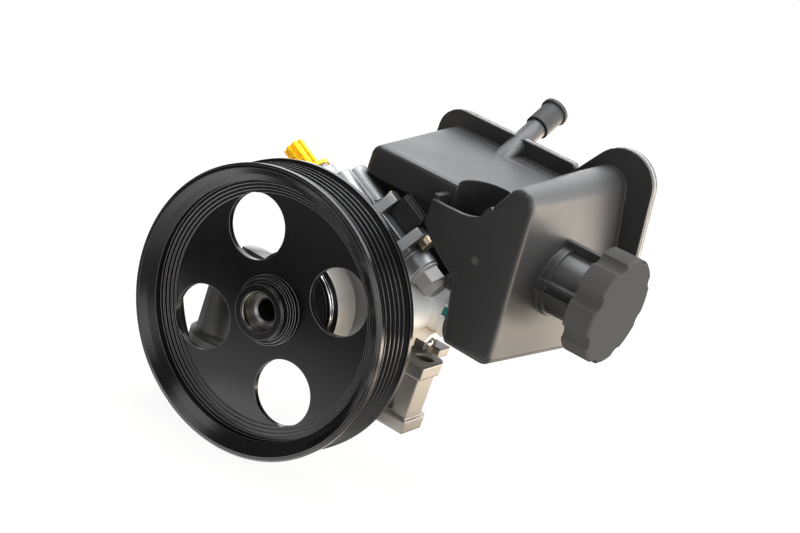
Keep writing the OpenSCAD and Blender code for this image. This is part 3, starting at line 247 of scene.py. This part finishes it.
ground_steel = metal_finish("ground steel", (0.50, 0.49, 0.47), 0.24, 0.36, lines=600.0)
oxide_steel = metal_finish("oxide steel", (0.26, 0.255, 0.25), 0.30, 0.42, lines=600.0)
ball_steel = metal_finish("polished ball steel", (0.34, 0.335, 0.33), 0.20, 0.28)
spring_wire = metal_finish("spring steel", (0.30, 0.29, 0.28), 0.28, 0.42)
cage_brass = metal_finish("brass", (0.72, 0.52, 0.24), 0.26, 0.40)
dress(oxide_steel, "drive_shaft")
dress(ground_steel, "bearing_inner_race", "bearing_outer_race", "rotor", "vanes", "cam_ring",
      "front_pressure_plate", "rear_pressure_plate", "dowel_pins", "end_cover", "flow_valve_spool")
dress(ball_steel, "bearing_balls", "gallery_ball")
dress(spring_wire, "bearing_circlip", "rotor_circlip", "pressure_plate_spring", "cover_retaining_ring")
dress(cage_brass, "bearing_cage", "rear_bush")


# Seals. Rings and a lip seal of black nitrile rubber, matt from the mould and pressed into their grooves.
# The only one that shows is the teal ring on the tank's suction spigot.

def rubber_finish(name, colour, rough):
    """Matt moulded rubber: a fine even grain and a dusty bloom in patches."""
    finish, tree, shader = new_finish(name, Specular_IOR_Level=0.35)
    grain = use_effect(tree, fine_grain, Scale=2200.0)
    edge = use_effect(tree, soft_edge, Radius=0.0004)
    bloom = (*(c + 0.012 for c in colour), 1.0)
    feed(tree, shader, Base_Color=blend(tree, grain["Cloud"], (*colour, 1.0), bloom),
         Roughness=spread(tree, grain["Cloud"], 0.0, 1.0, rough - 0.08, rough + 0.08),
         Normal=relief(tree, grain["Height"], edge["Normal"], 0.12))
    return finish


black_rubber = rubber_finish("black rubber", (0.017, 0.017, 0.017), 0.55)
teal_rubber = rubber_finish("teal rubber", (0.004, 0.30, 0.27), 0.42)
dress(black_rubber, "shaft_seal", "cover_o_ring", "valve_plug_o_ring", "cap_gasket")
dress(teal_rubber, "suction_o_ring")


# Pump housing. One aluminium die casting with a fine sandy skin, left bare.
# The pilot on the nose's front is machined bright, and the dark gap round it is painted shade.
# The flank beside the tank is painted light, warm underneath, and the lug's column a warm bounce light.
# The nose is painted warm and light below and darker above.
# The crown is painted darker, to tone down its reflection.
# The left boss is painted shade, and the lug's top carries the tank's painted shadow.

cast_grey = (0.36, 0.36, 0.365, 1.0)
cast_dull = (0.29, 0.29, 0.295, 1.0)
painted_lit_flank = (0.84, 0.86, 0.87, 1.0)
painted_warm_underside = (0.95, 0.88, 0.78, 1.0)
column_warm_bounce = (0.31, 0.29, 0.26, 1.0)
boss_painted_shade = (0.055, 0.054, 0.052, 1.0)
crown_painted_shade = (0.23, 0.235, 0.24, 1.0)
lug_painted_shadow = (0.055, 0.055, 0.054, 1.0)
cut_bright = (0.60, 0.60, 0.59, 1.0)
nose_lit_below = (1.0, 0.91, 0.78, 1.0)
nose_shaded_above = (0.40, 0.385, 0.36, 1.0)
pilot_bright = (0.80, 0.80, 0.80, 1.0)
gap_painted_shade = (0.012, 0.012, 0.012, 1.0)
# Places on the casting, in metres in the shared frame; a fade is how far a place's edge runs out
nose_radius, nose_front, nose_rear = 0.0249, 0.01638, 0.0330
pilot_radius, gap_depth = 0.0223, 0.0002
lug_top, lug_start = -0.0041, 0.046
boss_side = (-0.045, -0.020)
boss_middle = (-0.0505, 0.0463, 0.0)
shade_side, shade_edge = (0.75, -0.66, 0.0), (-0.002, 0.005)
side_start, side_front, side_top = 0.026, 0.030, 0.032
start_fade, top_fade = 0.006, 0.008
crown_height, crown_fade = 0.040, 0.006

cast_aluminium, tree, shader = new_finish("cast aluminium")
edge = use_effect(tree, soft_edge, Radius=0.0012)
grain = use_effect(tree, fine_grain, Scale=1100.0)
marks = use_effect(tree, hairlines, Amount=0.6)
place = add_node(tree, "TexCoord").outputs["Object"]
parts = add_node(tree, "SeparateXYZ", {0: place}).outputs
radius = arrow(tree, "LENGTH", arrow(tree, "MULTIPLY", place, (1.0, 0.0, 1.0)))

# Where each place of the casting is
nose = all_of(tree, number(tree, "LESS_THAN", radius, nose_radius), number(tree, "LESS_THAN", parts["Y"], nose_rear))
pilot = all_of(tree, nose, number(tree, "LESS_THAN", radius, pilot_radius))
# The gap round the pilot: the nose's face painted black as its shade
shaded_gap = all_of(tree, nose, number(tree, "LESS_THAN", parts["Y"], nose_front + gap_depth))
on_right = number(tree, "GREATER_THAN", parts["X"], lug_start)
above_lug = number(tree, "GREATER_THAN", parts["Z"], lug_top)
# The lug's top, painted dark as the tank's shadow on it
shadowed_lug_top = all_of(tree, above_lug, on_right, number(tree, "LESS_THAN", parts["Z"], 0.0))
# The lug's column, painted a warm bounce light from the table
column = all_of(tree, number(tree, "LESS_THAN", parts["Z"], lug_top), on_right)
# The crown, painted darker to tone down its bright reflection
shaded_crown = spread(tree, parts["Z"], crown_height - crown_fade, crown_height, 0.0, 1.0)
# The left boss's front side, painted dark as shade
boss_shade = arrow(tree, "DOT_PRODUCT", arrow(tree, "SUBTRACT", place, boss_middle), shade_side)
boss_shade = all_of(tree, spread(tree, boss_shade, *shade_edge, 0.0, 1.0), spread(tree, parts["X"], *boss_side, 1.0, 0.0))
# The flank beside the tank: painted light grey, and warm underneath as bounce light from the table
flank = all_of(tree, spread(tree, parts["X"], side_start, side_start + start_fade, 0.0, 1.0),
               number(tree, "GREATER_THAN", parts["Y"], side_front),
               spread(tree, parts["Z"], side_top - top_fade, side_top, 1.0, 0.0), above_lug)

# Its colour, one place laid over another
skin = blend(tree, grain["Cloud"], cast_dull, cast_grey)
skin = blend(tree, number(tree, "MAXIMUM", edge["Edge"], marks["Mask"]), skin, cut_bright)
flank_painted_light = blend(tree, spread(tree, parts["Z"], 0.002, 0.016, 0.0, 1.0), painted_warm_underside, painted_lit_flank)
# The nose is painted light: warm and bright below, darker above
nose_painted_light = blend(tree, spread(tree, parts["Z"], -0.010, 0.012, 0.0, 1.0), nose_lit_below, nose_shaded_above)
for mask, colour in ((shaded_crown, crown_painted_shade), (boss_shade, boss_painted_shade), (flank, flank_painted_light), (column, column_warm_bounce), (shadowed_lug_top, lug_painted_shadow),
                     (nose, nose_painted_light), (shaded_gap, gap_painted_shade), (pilot, pilot_bright)):
    skin = blend(tree, mask, skin, colour)
plain = number(tree, "SUBTRACT", number(tree, "MAXIMUM", nose, flank), pilot)
rough = blend(tree, nose, spread(tree, grain["Cloud"], 0.0, 1.0, 0.50, 0.40), 0.30, "FLOAT")
feed(tree, shader, Base_Color=skin, Metallic=spread(tree, plain, 0.0, 1.0, 1.0, 0.40),
     Roughness=blend(tree, pilot, rough, 0.14, "FLOAT"), Normal=relief(tree, grain["Height"], edge["Normal"], 0.25))
dress(cast_aluminium, "pump_housing")


def surface(name, grid, close_path, finish, body):
    """A smooth mesh through a grid of points: rows run along the piece, columns always close round it.
    The last row joins the first when the path closes."""
    rows, columns = grid.shape[:2]
    here = np.arange(rows * columns).reshape(rows, columns)
    there = np.roll(here, -1, 0) if close_path else here[1:]
    here = here if close_path else here[:-1]
    faces = np.stack([here, np.roll(here, -1, 1), np.roll(there, -1, 1), there], -1).reshape(-1, 4)
    mesh = bpy.data.meshes.new(name)
    mesh.from_pydata(grid.reshape(-1, 3).tolist(), [], faces.tolist())
    mesh.polygons.foreach_set("use_smooth", np.ones(len(faces), bool))
    mesh.materials.append(finish)
    piece = bpy.data.objects.new(name, mesh)
    bpy.context.scene.collection.objects.link(piece)
    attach(piece, body)
    return piece


def ring_lip(centre, profile, start, stop, rows):
    """A closed profile of (along X, out from the axis) pairs, turned about an axis along X from one angle to another.
    Its two ends shrink to a point."""
    turn = np.radians(np.linspace(start, stop, rows))[:, None]
    shrink = np.ones((rows, 1))
    shrink[[0, -1]] = 0.0
    middle = profile.mean(0)
    along = middle[0] + shrink * (profile[:, 0] - middle[0])
    out = middle[1] + shrink * (profile[:, 1] - middle[1])
    return np.stack([centre[0] + along, centre[1] + out * np.cos(turn), centre[2] + out * np.sin(turn)], -1)


# Lip of the suction port: it hides the teal ring but for a short window at the front
port_centre = (0.053, 0.0663, 0.014)
lip_start, lip_stop = 174.0, 516.0
lip_profile = np.array(((-0.8, 11.4), (-0.8, 12.2), (-0.3, 12.45), (2.5, 12.45), (2.8, 12.2), (2.8, 11.4))) / 1000.0
lip_grid = ring_lip(port_centre, lip_profile, lip_start, lip_stop, 96)
surface("suction_lip", lip_grid, False, cast_aluminium, "housing")


# Valve plug, outlet fitting and tank pin. Turned steel, screwed or pressed into the casting.
# The plug and the fitting are zinc plated and the pin is passivated tan.
# Behind the plug a spring of wound steel wire pushes the flow valve's spool home.

zinc_plate = metal_finish("zinc plate", (0.25, 0.25, 0.248), 0.46, 0.58, edge_radius=0.0008, bare=0.4)
tan_plate = metal_finish("tan passivated steel", (0.56, 0.45, 0.32), 0.34, 0.48, edge_radius=0.0006)
dress(zinc_plate, "valve_plug", "outlet_fitting")
dress(tan_plate, "tank_pin")


def wound_wire(start, axis, length, mean_radius, wire_radius, turns):
    """A round wire carried along a screw line about an axis that has no Y part. The turn grows evenly; the rise is
    one wire's thickness over the first and the last turn, and even between them. Both ends shrink to a point."""
    rows, columns = 24 * turns + 1, 10
    turned = np.linspace(0.0, turns, rows)[:, None]
    close = 2.1 * wire_radius
    reach = length - 2.0 * wire_radius
    rise = wire_radius + np.interp(turned, (0.0, 1.0, turns - 1.0, turns), (0.0, close, reach - close, reach))
    first = np.array((0.0, 1.0, 0.0))
    second = np.cross(axis, first)
    out = np.cos(2.0 * np.pi * turned) * first + np.sin(2.0 * np.pi * turned) * second
    lie = np.linspace(0.0, -2.0 * np.pi, columns, endpoint=False)[:, None]
    thick = np.full((rows, 1, 1), wire_radius)
    thick[[0, -1]] = 0.0
    middle = start + rise * np.array(axis) + mean_radius * out
    return middle[:, None] + thick * (np.cos(lie) * out[:, None] + np.sin(lie) * np.array(axis))


# Valve spring: it stands between the spool's pocket and the plug, and in the pump it shortens as the spool slides.
# Here it is drawn at one length.
valve_axis = (0.898794, 0.0, -0.438371)
valve_middle = np.array((0.021217, 0.0445, 0.043502))
spring_low, spring_high = -0.00695, 0.016
spring_length = spring_high - spring_low
coil_radius, wire_radius, coil_turns = 0.00242, 0.0005, 6
spring_foot = valve_middle + spring_low * np.array(valve_axis)
spring_grid = wound_wire(spring_foot, valve_axis, spring_length, coil_radius, wire_radius, coil_turns)
spring = surface("valve_spring_coil", spring_grid, False, spring_wire, "housing")
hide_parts("flow_valve_spring")
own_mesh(spring)


# Shipping plug. Soft yellow polyethylene, moulded in one piece with ribs for the fingers.
# It is pushed into the outlet by hand and keeps dirt out until the pipe is fitted.

plug_yellow = (1.0, 0.60, 0.004, 1.0)
plug_deep = (0.97, 0.52, 0.002, 1.0)

yellow_plastic, tree, shader = new_finish("yellow polyethylene", Subsurface_Weight=0.35, Subsurface_Scale=0.0015,
                                          Subsurface_Radius=(1.0, 0.6, 0.1), Specular_IOR_Level=0.25)
grain = use_effect(tree, fine_grain, Scale=1300.0)
edge = use_effect(tree, soft_edge, Radius=0.0005)
feed(tree, shader, Base_Color=blend(tree, grain["Cloud"], plug_deep, plug_yellow),
     Roughness=spread(tree, grain["Cloud"], 0.0, 1.0, 0.44, 0.34),
     Normal=relief(tree, grain["Height"], edge["Normal"], 0.1))
dress(yellow_plastic, "outlet_shipping_plug")


# Tank. Two shells of black glass-filled nylon, injection moulded with a fine grain and welded at the flange.
# A pin holds its tongue between the housing's ears, and its spigot sits in the suction port.

# Even wall: the tall block's right wall twists between its two ends, so its shading turns evenly over the fold
lower_wall, upper_wall = (0.988, -0.135, 0.068), (0.978, -0.027, 0.206)
fold_start, fold_across = (0.0, 0.0347, 0.0850), (0.0, 0.612, 0.790)
fold_half = 0.034
wall_start, wall_facing = 0.084, 0.965
even_wall, takes, gives = new_effect("even wall", {"Normal": "Vector"}, {"Normal": "Vector"})
place = add_node(even_wall, "TexCoord").outputs["Object"]
flat = add_node(even_wall, "NewGeometry").outputs["True Normal"]
beyond = arrow(even_wall, "DOT_PRODUCT", arrow(even_wall, "SUBTRACT", place, fold_start), fold_across)
turned = add_node(even_wall, "MapRange", {"Value": beyond, "From Min": -fold_half, "From Max": fold_half},
                  interpolation_type="SMOOTHSTEP").outputs[0]
change = arrow(even_wall, "SUBTRACT", blend(even_wall, turned, lower_wall, upper_wall, "VECTOR"), flat)
faces_right = add_node(even_wall, "SeparateXYZ", {0: flat}).outputs["X"]
far_right = add_node(even_wall, "SeparateXYZ", {0: place}).outputs["X"]
on_wall = all_of(even_wall, number(even_wall, "GREATER_THAN", faces_right, wall_facing),
                 number(even_wall, "GREATER_THAN", far_right, wall_start))
change = add_node(even_wall, "VectorMath", {0: change, "Scale": on_wall}, operation="SCALE").outputs["Vector"]
whole = arrow(even_wall, "NORMALIZE", arrow(even_wall, "ADD", takes["Normal"], change))
even_wall.links.new(whole, gives["Normal"])


def moulded_finish(name, colour, smooth, rough, grain_scale, edge_radius, gloss=0.5, shape=None):
    """Moulded black plastic: fine grain, cloudy gloss, pale hairlines and slightly rubbed edges.
    A shape is a node group that turns the shading normal."""
    finish, tree, shader = new_finish(name, Specular_IOR_Level=gloss)
    edge = use_effect(tree, soft_edge, Radius=edge_radius)
    grain = use_effect(tree, fine_grain, Scale=grain_scale)
    marks = use_effect(tree, hairlines, Amount=0.5)
    pale = (*(2.4 * c for c in colour), 1.0)
    worn = number(tree, "MAXIMUM", number(tree, "MULTIPLY", edge["Edge"], 0.35), marks["Mask"])
    normal = use_effect(tree, shape, Normal=edge["Normal"])["Normal"] if shape else edge["Normal"]
    feed(tree, shader, Base_Color=blend(tree, worn, (*colour, 1.0), pale),
         Roughness=spread(tree, grain["Cloud"], 0.0, 1.0, smooth, rough),
         Normal=relief(tree, grain["Height"], normal, 0.12))
    return finish


tank_plastic = moulded_finish("black glass-filled nylon", (0.015, 0.015, 0.0155), 0.40, 0.48, 1700.0, 0.0009,
                              shape=even_wall)
dress(tank_plastic, "reservoir_front_shell", "reservoir_rear_shell")


def ease_facets(name, fold):
    """Joins a faceted node's triangles so that light runs evenly over its folds, up to that angle in degrees."""
    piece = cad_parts[name]
    piece.modifiers.new("weld", "WELD").merge_threshold = 1e-5
    piece.modifiers.new("split", "EDGE_SPLIT").split_angle = np.radians(fold)
    even = piece.modifiers.new("even normals", "WEIGHTED_NORMAL")
    even.mode, even.weight = "FACE_AREA", 70


ease_facets("reservoir_front_shell", 50.0)
ease_facets("reservoir_rear_shell", 50.0)


def rounded_tab(low, high, corner):
    """A round-cornered rectangle in X and Z, carried along Y. Its ends draw in a little and then shrink to a point."""
    turn = np.linspace(0.0, 2.0 * np.pi, 24, endpoint=False)
    half = (high - low) / 2.0 - corner
    outline = np.stack([half[0] * np.sign(np.cos(turn)) + corner * np.cos(turn),
                        half[2] * np.sign(np.sin(turn)) + corner * np.sin(turn)], -1)
    share = np.array((0.0, 0.9, 1.0, 1.0, 0.9, 0.0))[:, None]
    along = np.array((low[1], low[1], low[1] + corner / 2.0, high[1] - corner / 2.0, high[1], high[1]))
    centre = (low + high) / 2.0
    return np.stack([centre[0] + share * outline[:, 0], np.repeat(along[:, None], len(turn), 1),
                     centre[2] + share * outline[:, 1]], -1)


# Edge tab: a small stop moulded behind the panel's left edge, beside the valve plug
tab_low, tab_high = np.array((0.0588, 0.0335, 0.0350)), np.array((0.0645, 0.0362, 0.0412))
surface("edge_tab", rounded_tab(tab_low, tab_high, 0.0008), False, tank_plastic, "housing")


# Weld flash. A thin uneven bead of nylon, paler than the shells.
# Hot plate welding squeezed it out between the two flanges, and it was left untrimmed.

weld_place = 0.1199
flash_radius, flash_wobble, flash_inset = 0.00055, 0.42, 0.00025
flash_rows, flash_columns = 720, 8
flange_centre = np.array((0.0612, 0.0700))
flange_corners = (
    np.array(((-1.0, 76.5, 11.0), (60.0, 85.5, 2.0), (60.0, 58.0, 2.0), (-6.0, 60.0, 6.0))) / 1000.0,
    np.array(((86.0, 88.0, 17.0), (101.0, 24.0, 10.0), (59.0, 16.0, 2.0), (63.0, 82.0, 2.0))) / 1000.0,
)


def flange_reach(angles):
    """How far the flange's edge lies from its centre in each direction. A rounded-corner plate ends, along a ray,
    at the nearest of its tangent lines; of the two plates the farther end counts."""
    turn = np.linspace(0.0, 2.0 * np.pi, 1440, endpoint=False)
    tangent = np.stack([np.cos(turn), np.sin(turn)])
    ray = np.stack([np.cos(angles), np.sin(angles)], 1)
    slope = np.maximum(ray @ tangent, 1e-6)
    ends = []
    for corners in flange_corners:
        reach = ((corners[:, :2] - flange_centre) @ tangent + corners[:, 2:]).max(0)
        ends.append(np.where(ray @ tangent > 1e-6, reach / slope, 9.0).min(1))
    return np.maximum(*ends)


def even_steps(outline, count):
    """That many points at even steps along a closed line: the way gone is summed up, and each step is found in it."""
    way = np.linalg.norm(np.roll(outline, -1, 0) - outline, axis=1)
    gone = np.concatenate([[0.0], np.cumsum(way)])
    steps = np.linspace(0.0, gone[-1], count, endpoint=False)
    ring = np.concatenate([outline, outline[:1]])
    return np.stack([np.interp(steps, gone, ring[:, 0]), np.interp(steps, gone, ring[:, 1])], 1)


def weld_bead(line, thick):
    """A circle whose radius changes, carried along a closed line in X and Z and set in from it a little. It spreads
    out from the line and along Y, nine tenths as wide in Y, and stays below the top of the CAD box."""
    ahead = np.roll(line, -1, 0) - np.roll(line, 1, 0)
    out = np.stack([ahead[:, 1], -ahead[:, 0]], 1) / np.linalg.norm(ahead, axis=1)[:, None]
    middle = line - flash_inset * out
    turn = np.linspace(0.0, 2.0 * np.pi, flash_columns, endpoint=False)
    across = thick[:, None] * np.cos(turn)
    return np.stack([middle[:, :1] + across * out[:, :1], weld_place + 0.9 * thick[:, None] * np.sin(turn),
                     np.minimum(middle[:, 1:] + across * out[:, 1:], cad_high.z - 1e-5)], -1)


dense = np.linspace(0.0, 2.0 * np.pi, 3000, endpoint=False)
edge_line = flange_centre + flange_reach(dense)[:, None] * np.stack([np.cos(dense), np.sin(dense)], 1)
chance = np.random.default_rng(7)
uneven = np.tile(chance.normal(size=flash_rows), 3)
uneven = np.convolve(uneven, np.ones(5) / 5.0, "same")[flash_rows:2 * flash_rows]
bead = weld_bead(even_steps(edge_line, flash_rows), flash_radius * (1.0 + flash_wobble * uneven))
flash_plastic = moulded_finish("pale weld flash", (0.34, 0.335, 0.33), 0.50, 0.60, 900.0, 0.0003)
surface("weld_flash", bead, True, flash_plastic, "housing")


# Gate mark. The stub where the nylon was shot into the mould, in a shallow ring on the front panel.
# The sprue was cut off by hand, which left the stub rubbed and a little paler.

gate_middle = (0.0704, 0.0323, 0.0531)
gate_profile = np.array(((0.05, 0.35), (0.45, 0.32), (0.62, 0.12), (1.0, 0.06), (1.25, 0.24), (1.6, 0.22),
                         (1.85, -0.05))) / 1000.0


def turned_rings(profile, middle, columns):
    """A profile of (out from the axis, forwards) pairs, turned once round an axis along Y."""
    turn = np.linspace(0.0, 2.0 * np.pi, columns, endpoint=False)
    return np.stack([middle[0] + profile[:, :1] * np.cos(turn), np.repeat(middle[1] - profile[:, 1:], columns, 1),
                     middle[2] + profile[:, :1] * np.sin(turn)], -1)


gate_plastic = moulded_finish("rubbed nylon", (0.034, 0.034, 0.035), 0.42, 0.50, 1700.0, 0.0003)
surface("gate_mark", turned_rings(gate_profile, gate_middle, 32), False, gate_plastic, "housing")


# Filler cap, dipstick and dust cap. The cap and its dipstick are moulded in a slightly warmer, duller black.
# The cap turns into the filler neck; the dust cap is soft vinyl, pushed over the return nipple.

cap_plastic = moulded_finish("warm black plastic", (0.047, 0.046, 0.045), 0.50, 0.60, 1500.0, 0.0007, gloss=0.0)
soft_vinyl = moulded_finish("soft black vinyl", (0.028, 0.028, 0.029), 0.50, 0.60, 1900.0, 0.0006, gloss=0.22)
dress(cap_plastic, "filler_cap", "dipstick")
dress(soft_vinyl, "return_dust_cap")


# Studio. A white table and room, soft boxes above and on the right, a front fill, and the photo's camera.
# To the camera the table and the room are plain white, and in reflections they carry broad lights and shades.

floor_half = 4.0
floor_drop = 0.0006
table_paper = (0.80, 0.775, 0.73, 1.0)
table_seen = 0.92
white_light, warm_light = (1.0, 1.0, 1.0, 1.0), (1.0, 0.88, 0.74, 1.0)
bright_way = (0.72, 0.69, 0.0)
lit_reach, lit_glow = (0.18, 0.58), 10.0
# Spots on the table: the place, an inner and an outer distance from it, and the value at each distance
dim_spot = ((-0.125, -0.175, cad_low.z), 0.04, 0.13, 0.05, 0.42)
glint_spot = ((-0.135, -0.070, cad_low.z), 0.015, 0.06, 3.2, 0.0)
lip_spot = ((0.230, -0.100, cad_low.z), 0.03, 0.07, 3.0, 0.0)
belt_shade = ((0.195, 0.235, cad_low.z), 0.035, 0.085, 0.06, 1.0)

floor_mesh = bpy.data.meshes.new("table")
corners = floor_half * np.array([(-1, -1), (1, -1), (1, 1), (-1, 1)], float)
floor_points = np.column_stack([corners, np.full(4, cad_low.z - floor_drop)])
floor_mesh.from_pydata(floor_points.tolist(), [], [(0, 1, 2, 3)])
floor = bpy.data.objects.new("table", floor_mesh)
bpy.context.scene.collection.objects.link(floor)

table_top = bpy.data.materials.new("white table")
table_top.use_nodes = True
tree = table_top.node_tree
tree.nodes.clear()
path = add_node(tree, "LightPath").outputs
mirrored = number(tree, "MAXIMUM", path["Is Glossy Ray"], path["Is Transmission Ray"])
lit = number(tree, "MAXIMUM", number(tree, "MULTIPLY", path["Is Camera Ray"], table_seen), mirrored)
place = add_node(tree, "TexCoord").outputs["Object"]
side = add_node(tree, "SeparateXYZ", {0: place}).outputs
away = arrow(tree, "LENGTH", arrow(tree, "MULTIPLY", place, (1.0, 1.0, 0.0)))


def near(tree, place, spot, inner, outer, to_inner, to_outer):
    """A value that goes from one number to another between two distances from a spot on the table."""
    return spread(tree, arrow(tree, "DISTANCE", place, spot), inner, outer, to_inner, to_outer)


# What reflections find on the table: close to the pump, behind it, and far out on the bright side
foot = number(tree, "MAXIMUM", spread(tree, away, 0.10, 0.19, 1.25, 0.0), spread(tree, away, 0.05, 0.10, 2.6, 0.0))
dim = number(tree, "MAXIMUM", near(tree, place, *dim_spot), near(tree, place, *glint_spot))
close = number(tree, "MULTIPLY", number(tree, "MAXIMUM", foot, dim), spread(tree, side["Y"], -0.01, 0.07, 1.0, 0.12))
rear = all_of(tree, spread(tree, side["Y"], 0.06, 0.14, 0.0, 1.6), spread(tree, side["X"], -0.06, -0.01, 0.0, 1.0))
close = number(tree, "MAXIMUM", close, rear)
close = number(tree, "MAXIMUM", close, near(tree, place, *lip_spot))
bright_side = arrow(tree, "DOT_PRODUCT", place, bright_way)
shine = all_of(tree, spread(tree, bright_side, *lit_reach, close, lit_glow), near(tree, place, *belt_shade),
               spread(tree, away, 0.9, 2.2, 1.0, 0.25))
warm = number(tree, "MULTIPLY", mirrored, spread(tree, bright_side, 0.02, 0.12, 0.0, 1.0))
paper = add_node(tree, "BsdfDiffuse", {"Color": table_paper}).outputs[0]
glow = add_node(tree, "Emission", {"Color": blend(tree, warm, white_light, warm_light),
                                   "Strength": blend(tree, mirrored, 1.0, shine, "FLOAT")}).outputs[0]
feed(tree, tree.nodes.new("ShaderNodeOutputMaterial"),
     Surface=add_node(tree, "MixShader", {0: lit, 1: paper, 2: glow}).outputs[0])
floor_mesh.materials.append(table_top)

sweep_way = (0.15, 0.92, 0.36)
strip_way = (-0.16, -0.69, 0.71)
window_way = (0.76, -0.53, 0.37)
room_light = (0.975, 0.985, 1.0, 1.0)

world = bpy.data.worlds.new("studio")
bpy.context.scene.world = world
world.use_nodes = True
tree = world.node_tree
tree.nodes.clear()
heading = add_node(tree, "TexCoord").outputs["Generated"]
sweep = spread(tree, arrow(tree, "DOT_PRODUCT", heading, sweep_way), 0.2, 0.85, 0.19, 3.0)
strip = spread(tree, arrow(tree, "DOT_PRODUCT", heading, strip_way), 0.955, 0.995, 0.0, 3.0)
window = spread(tree, arrow(tree, "DOT_PRODUCT", heading, window_way), 0.90, 0.97, 0.0, 2.6)
strength = number(tree, "ADD", number(tree, "ADD", sweep, strip), window)
room = add_node(tree, "Background", {"Color": room_light, "Strength": strength}).outputs[0]
white = add_node(tree, "Background", {"Color": white_light, "Strength": 1.0}).outputs[0]
seen = add_node(tree, "LightPath").outputs["Is Camera Ray"]
feed(tree, tree.nodes.new("ShaderNodeOutputWorld"),
     Surface=add_node(tree, "MixShader", {0: seen, 1: room, 2: white}).outputs[0])


def turned_to(side, top, back, place):
    """The placing of an object whose X, Y and Z axes lie along side, top and back."""
    turn = np.eye(4)
    turn[:3, :4] = np.column_stack([side, top, back, place])
    return Matrix(turn.tolist())


def soft_box(name, place, aim, width, height, power, colour):
    """A rectangular lamp at a place, turned to the point that it lights."""
    lamp = bpy.data.lights.new(name, "AREA")
    lamp.shape = "RECTANGLE"
    lamp.size, lamp.size_y = width, height
    lamp.energy = power
    lamp.color = colour
    box = bpy.data.objects.new(name, lamp)
    bpy.context.scene.collection.objects.link(box)
    back = np.array(place) - np.array(aim)
    back /= np.linalg.norm(back)
    side = np.cross((0.0, 0.0, 1.0), back)
    side /= np.linalg.norm(side)
    box.matrix_world = turned_to(side, np.cross(back, side), back, place)
    box.visible_camera = False
    return box


middle = (0.03, 0.05, 0.02)
soft_box("top box", (-0.05, 0.25, 0.95), middle, 0.9, 0.7, 15.0, (0.97, 0.985, 1.0))
fill = soft_box("front fill", (0.75, -0.75, 0.22), middle, 0.6, 0.5, 5.0, (1.0, 0.94, 0.86))
fill.visible_glossy = False
soft_box("right box", (0.95, 0.30, 0.45), middle, 0.6, 0.6, 9.0, (1.0, 0.985, 0.96))

photo_width, photo_focus = 800.0, 2006.0
eye_place = (0.4231, -0.7125, 0.3193)
to_right, to_top, to_back = (0.7920, 0.5279, 0.3067), (-0.4276, 0.1210, 0.8959), (0.4358, -0.8407, 0.3216)
camera = bpy.data.cameras.new("camera")
camera.sensor_width = 36.0
camera.lens = photo_focus / photo_width * camera.sensor_width
camera.clip_start, camera.clip_end = 0.01, 50.0
eye = bpy.data.objects.new("camera", camera)
bpy.context.scene.collection.objects.link(eye)
eye.matrix_world = turned_to(to_right, to_top, to_back, eye_place)
bpy.context.scene.camera = eye
bpy.context.scene.view_settings.view_transform = "Standard"
